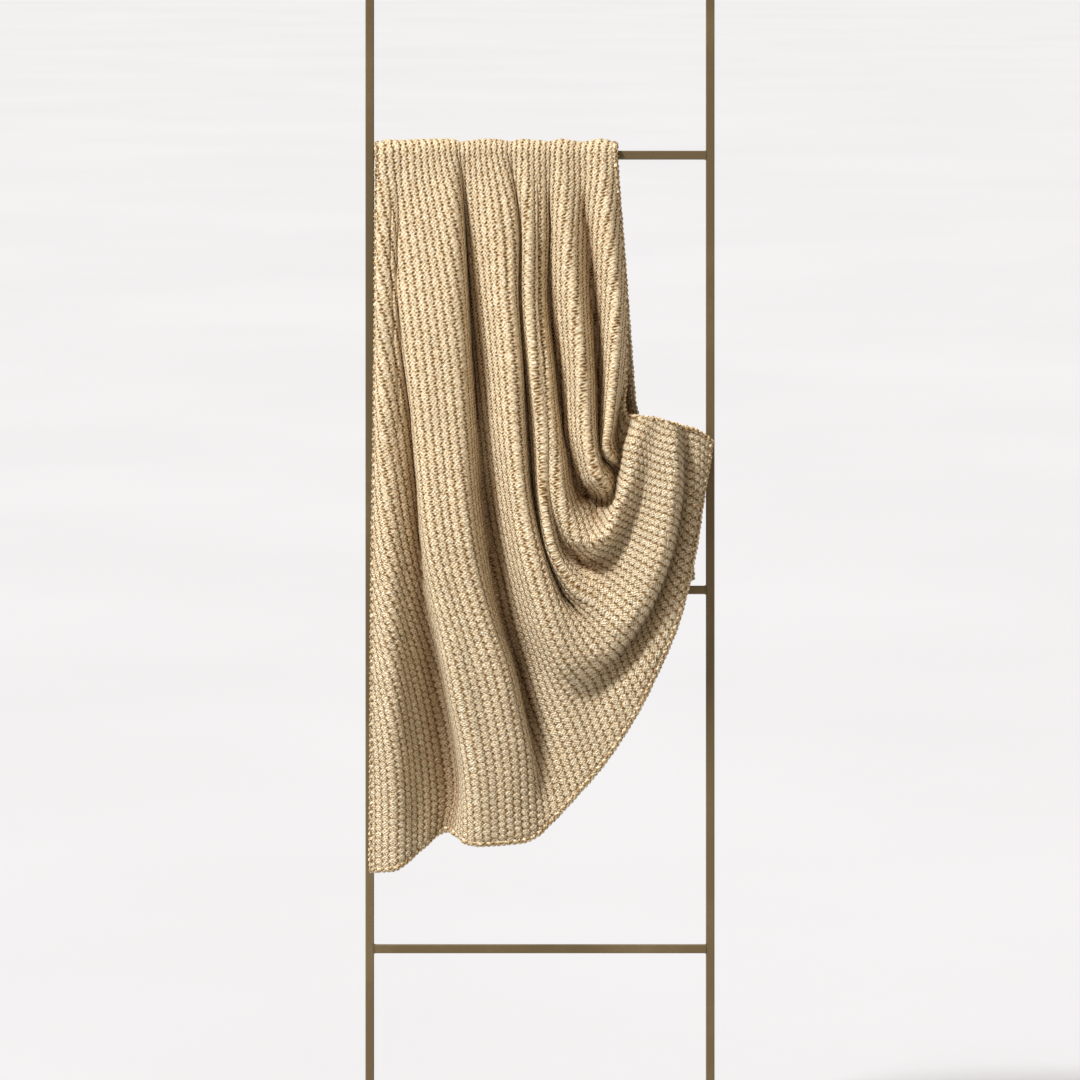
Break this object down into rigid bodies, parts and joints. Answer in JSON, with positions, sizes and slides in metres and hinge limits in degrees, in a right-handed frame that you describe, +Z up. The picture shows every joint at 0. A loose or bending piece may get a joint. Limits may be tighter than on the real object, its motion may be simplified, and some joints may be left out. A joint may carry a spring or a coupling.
{
  "type": "throw blanket on blanket ladder",
  "caption": "Chunky bobble-knit throw draped over the rungs of a slim leaning blanket ladder, a corner pulled up so its front falls in curved folds.",
  "frame": {"origin": "on the floor, under the middle of the width and of the depth of the leaning ladder with its throw", "axes": "+Z up, +Y toward the wall the ladder leans on, +X to the right as seen from the room"},
  "size_m": [0.492, 0.2612, 1.7833],
  "materials": {
    "ladder_paint": "satin bronze-brown paint over square steel tube",
    "knit_yarn": "thick matt plied oatmeal yarn in a bobble knit"
  },
  "bodies": {
    "root": {"upright_left": "ladder_paint", "upright_right": "ladder_paint", "rung_1": "ladder_paint", "rung_2": "ladder_paint", "rung_3": "ladder_paint", "rung_4": "ladder_paint", "blanket": "knit_yarn"}
  },
  "joints": []
}
